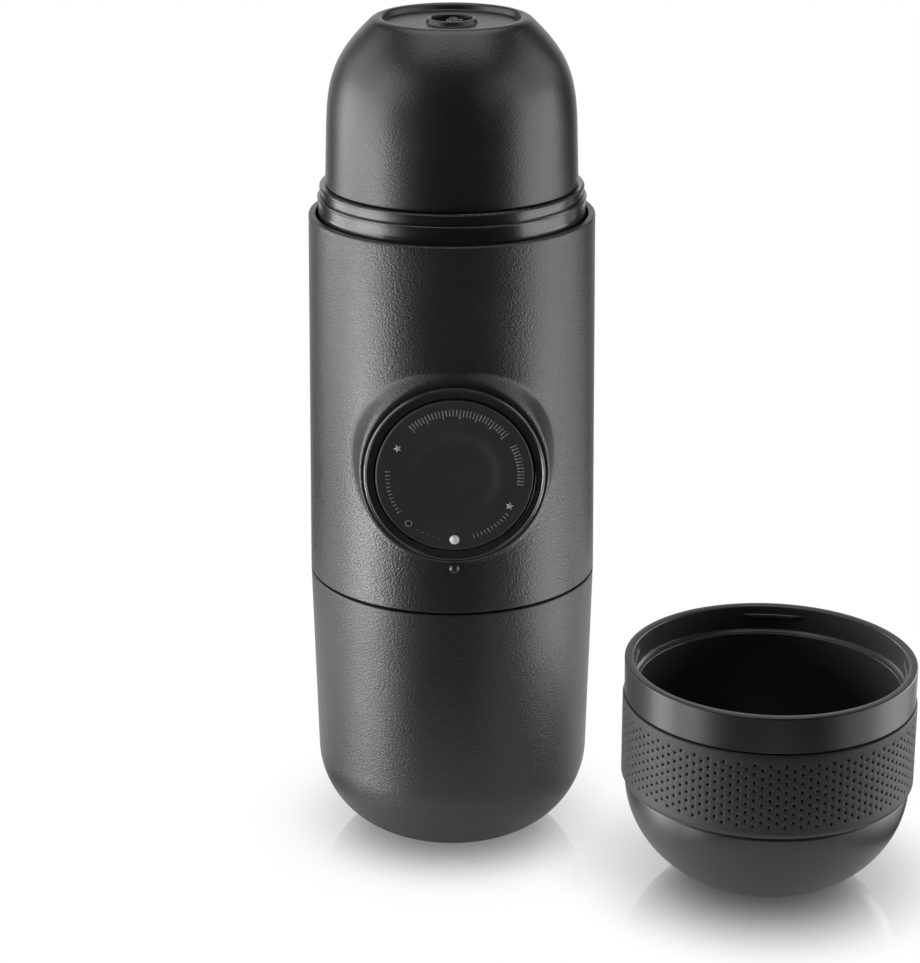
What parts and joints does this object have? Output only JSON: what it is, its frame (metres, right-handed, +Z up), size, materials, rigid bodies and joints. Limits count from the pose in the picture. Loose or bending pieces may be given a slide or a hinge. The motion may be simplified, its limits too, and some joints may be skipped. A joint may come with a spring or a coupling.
{
  "type": "handheld manual espresso maker",
  "caption": "Slim cylindrical hand-pumped espresso maker with a domed outlet head and a turn-to-unlock piston knob, beside its loose cup with a dimpled grip band.",
  "frame": {"origin": "centre of the maker's flat foot, on the surface it stands on", "axes": "+Z up along the maker's axis, -Y towards the piston knob's face, +X towards the loose cup"},
  "size_m": [0.1188, 0.0834, 0.1667],
  "materials": {
    "tank_plastic": "finely textured satin moulded plastic",
    "shell_plastic": "leather-textured satin moulded plastic",
    "head_plastic": "very fine satin moulded plastic",
    "gloss_black": "polished moulded plastic",
    "knob_plastic": "smooth satin moulded plastic with printed marks",
    "inner_plastic": "plain moulded plastic",
    "piston_plastic": "smooth moulded plastic",
    "cup_plastic": "semi-gloss moulded plastic",
    "grip_rubber": "dimpled silicone rubber",
    "seal_rubber": "smooth silicone",
    "steel": "stainless steel"
  },
  "bodies": {
    "tank": {"water_tank": "tank_plastic"},
    "main_body": {"outer_shell": "shell_plastic", "inner_frame": "gloss_black", "base_plate": "inner_plastic", "base_screws": "steel", "tank_seal": "seal_rubber", "intake_strainer": "steel", "air_valve": "seal_rubber", "knob_collar": "gloss_black", "collar_screws": "steel", "pump_cylinder": "inner_plastic", "outlet_valve_seat": "seal_rubber", "riser_pipe": "inner_plastic", "shower_screen": "steel", "shower_screw": "steel", "brew_gasket": "seal_rubber", "outlet_valve_spring": "steel"},
    "piston": {"piston_stem": "piston_plastic", "piston_crown": "inner_plastic", "piston_seals": "seal_rubber", "piston_spring": "steel"},
    "knob": {"piston_knob": "knob_plastic", "knob_screw": "steel"},
    "intake_valve": {"intake_valve_disc": "seal_rubber"},
    "outlet_valve": {"outlet_valve_ball": "steel"},
    "head": {"outlet_head": "head_plastic", "spout_insert": "inner_plastic", "head_seal": "seal_rubber"},
    "basket": {"filter_basket": "inner_plastic", "filter_mesh": "steel"},
    "cup": {"cup_bowl": "cup_plastic", "cup_grip_sleeve": "grip_rubber"}
  },
  "joints": [
    {"name": "body_lift", "type": "slide", "parent": "tank", "child": "main_body", "axis": [0, 0, 1], "range_m": [0, 0.045]},
    {"name": "piston_stroke", "type": "slide", "parent": "main_body", "child": "piston", "axis": [0, -1, 0], "range_m": [0, 0.02], "deforming": ["piston_spring"]},
    {"name": "knob_turn", "type": "hinge", "parent": "piston", "child": "knob", "pos_m": [0, -0.0303, 0.08525], "axis": [0, -1, 0], "range_deg": [0, 45]},
    {"name": "intake_valve_lift", "type": "slide", "parent": "main_body", "child": "intake_valve", "axis": [0, 0, 1], "range_m": [0, 0.0012]},
    {"name": "outlet_valve_lift", "type": "slide", "parent": "main_body", "child": "outlet_valve", "axis": [0, 0, 1], "range_m": [0, 0.001], "deforming": ["outlet_valve_spring"]},
    {"name": "head_lift", "type": "slide", "parent": "main_body", "child": "head", "axis": [0, 0, 1], "range_m": [0, 0.05]},
    {"name": "basket_lift", "type": "slide", "parent": "main_body", "child": "basket", "axis": [0, 0, 1], "range_m": [0, 0.025]},
    {"name": "cup_lift", "type": "slide", "parent": "tank", "child": "cup", "axis": [0, 0, 1], "range_m": [0, 0.04]}
  ],
  "couplings": [
    {"joint": "basket_lift", "follows": "head_lift", "ratio": 0.5}
  ]
}
